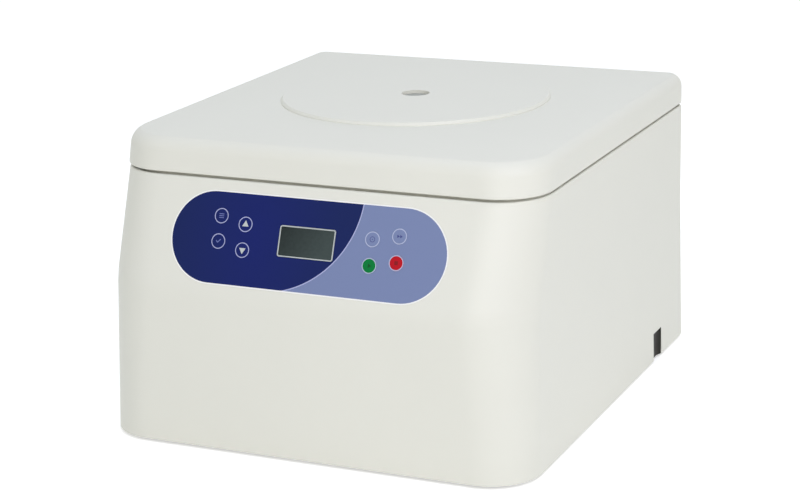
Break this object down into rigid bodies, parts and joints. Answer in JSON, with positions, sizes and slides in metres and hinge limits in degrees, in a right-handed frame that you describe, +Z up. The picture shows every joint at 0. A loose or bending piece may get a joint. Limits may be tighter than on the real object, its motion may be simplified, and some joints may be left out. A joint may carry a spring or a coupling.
{
  "type": "laboratory centrifuge",
  "caption": "Bench centrifuge for plasma tubes: moulded body, sloping key panel, rear-hinged lid with lock, steel chamber and swing-out rotor with hanging buckets.",
  "frame": {"origin": "on the bench top, under the middle of the body", "axes": "+X to the right as the panel is faced, +Y from the panel to the rear hinges, +Z up"},
  "size_m": [0.4, 0.452, 0.2706],
  "materials": {
    "shell": "satin moulded",
    "liner": "satin moulded",
    "rubber": "matte",
    "stainless": "brushed",
    "zinc_steel": "zinc plated",
    "aluminium": "turned and anodised",
    "motor_paint": "satin paint",
    "coil": "varnished winding in a steel frame",
    "circuit_board": "solder mask",
    "clear_window": "polished clear plastic",
    "film": "printed film",
    "film_pale": "printed film",
    "key_green": "printed film",
    "key_red": "printed film",
    "display_rim": "satin",
    "display_pane": "smoked pane",
    "black_plastic": "fine grained",
    "sleeve": "soft moulded"
  },
  "bodies": {
    "body": {"main_housing": "shell", "deck_plate": "shell", "base_pan": "zinc_steel", "foot_front_left": "rubber", "foot_front_right": "rubber", "foot_rear_left": "rubber", "foot_rear_right": "rubber", "chamber_bowl": "stainless", "chamber_gasket": "rubber", "shaft_seal": "rubber", "motor_plate": "zinc_steel", "motor_damper_1": "rubber", "motor_damper_2": "rubber", "motor_damper_3": "rubber", "motor_body": "motor_paint", "drive_board": "circuit_board", "lock_bracket": "zinc_steel", "lock_solenoid": "coil", "hinge_bracket_left": "zinc_steel", "hinge_bracket_right": "zinc_steel", "control_overlay": "film", "display_frame": "display_rim", "display_glass": "display_pane", "control_board": "circuit_board", "power_sheet": "zinc_steel", "power_inlet": "black_plastic", "switch_frame": "black_plastic"},
    "lid": {"lid_cover": "shell", "lid_liner": "liner", "sight_window": "clear_window", "lid_striker": "zinc_steel", "hinge_leaf_left": "zinc_steel", "hinge_leaf_right": "zinc_steel", "hinge_pin_left": "stainless", "hinge_pin_right": "stainless"},
    "rotor": {"spindle": "stainless", "rotor_head": "aluminium", "rotor_nut": "stainless"},
    "hook": {"lock_hook": "zinc_steel"},
    "plunger": {"lock_plunger": "zinc_steel"},
    "rocker": {"power_rocker": "black_plastic"},
    "bucket_1_body": {"bucket_1": "aluminium", "bucket_sleeve_1": "sleeve"},
    "bucket_2_body": {"bucket_2": "aluminium", "bucket_sleeve_2": "sleeve"},
    "bucket_3_body": {"bucket_3": "aluminium", "bucket_sleeve_3": "sleeve"},
    "bucket_4_body": {"bucket_4": "aluminium", "bucket_sleeve_4": "sleeve"},
    "key_menu_body": {"key_menu": "film"},
    "key_confirm_body": {"key_confirm": "film"},
    "key_up_body": {"key_up": "film"},
    "key_down_body": {"key_down": "film"},
    "key_mode_body": {"key_mode": "film_pale"},
    "key_pulse_body": {"key_pulse": "film_pale"},
    "key_start_body": {"key_start": "key_green"},
    "key_stop_body": {"key_stop": "key_red"}
  },
  "joints": [
    {"name": "lid_hinge", "type": "hinge", "parent": "body", "child": "lid", "pos_m": [0, 0.219, 0.2432], "axis": [-1, 0, 0], "range_deg": [0, 75]},
    {"name": "rotor_spin", "type": "hinge", "parent": "body", "child": "rotor", "pos_m": [0, 0.027, 0.196], "axis": [0, 0, 1], "continuous": true},
    {"name": "bucket_1_swing", "type": "hinge", "parent": "rotor", "child": "bucket_1_body", "pos_m": [0.052, 0.027, 0.196], "axis": [0, -1, 0], "range_deg": [0, 90]},
    {"name": "bucket_2_swing", "type": "hinge", "parent": "rotor", "child": "bucket_2_body", "pos_m": [0, 0.079, 0.196], "axis": [1, 0, 0], "range_deg": [0, 90]},
    {"name": "bucket_3_swing", "type": "hinge", "parent": "rotor", "child": "bucket_3_body", "pos_m": [-0.052, 0.027, 0.196], "axis": [0, 1, 0], "range_deg": [0, 90]},
    {"name": "bucket_4_swing", "type": "hinge", "parent": "rotor", "child": "bucket_4_body", "pos_m": [0, -0.025, 0.196], "axis": [-1, 0, 0], "range_deg": [0, 90]},
    {"name": "key_menu_press", "type": "slide", "parent": "body", "child": "key_menu_body", "axis": [0, 0.9286, -0.371], "range_m": [0, 0.0004], "stiffness_N_per_m": 3000},
    {"name": "key_confirm_press", "type": "slide", "parent": "body", "child": "key_confirm_body", "axis": [0, 0.9286, -0.371], "range_m": [0, 0.0004], "stiffness_N_per_m": 3000},
    {"name": "key_up_press", "type": "slide", "parent": "body", "child": "key_up_body", "axis": [0, 0.9286, -0.371], "range_m": [0, 0.0004], "stiffness_N_per_m": 3000},
    {"name": "key_down_press", "type": "slide", "parent": "body", "child": "key_down_body", "axis": [0, 0.9286, -0.371], "range_m": [0, 0.0004], "stiffness_N_per_m": 3000},
    {"name": "key_mode_press", "type": "slide", "parent": "body", "child": "key_mode_body", "axis": [0, 0.9286, -0.371], "range_m": [0, 0.0004], "stiffness_N_per_m": 3000},
    {"name": "key_pulse_press", "type": "slide", "parent": "body", "child": "key_pulse_body", "axis": [0, 0.9286, -0.371], "range_m": [0, 0.0004], "stiffness_N_per_m": 3000},
    {"name": "key_start_press", "type": "slide", "parent": "body", "child": "key_start_body", "axis": [0, 0.9286, -0.371], "range_m": [0, 0.0004], "stiffness_N_per_m": 3000},
    {"name": "key_stop_press", "type": "slide", "parent": "body", "child": "key_stop_body", "axis": [0, 0.9286, -0.371], "range_m": [0, 0.0004], "stiffness_N_per_m": 3000},
    {"name": "power_rocker_tilt", "type": "hinge", "parent": "body", "child": "rocker", "pos_m": [0.133, 0.2179, 0.062], "axis": [1, 0, 0], "range_deg": [0, 18]},
    {"name": "lock_hook_turn", "type": "hinge", "parent": "body", "child": "hook", "pos_m": [0, -0.153, 0.198], "axis": [-1, 0, 0], "range_deg": [0, 14]},
    {"name": "lock_plunger_slide", "type": "slide", "parent": "body", "child": "plunger", "axis": [0, 0, 1], "range_m": [0, 0.0035]}
  ],
  "couplings": [
    {"joint": "lock_plunger_slide", "follows": "lock_hook_turn", "m_per_rad": 0.014}
  ]
}
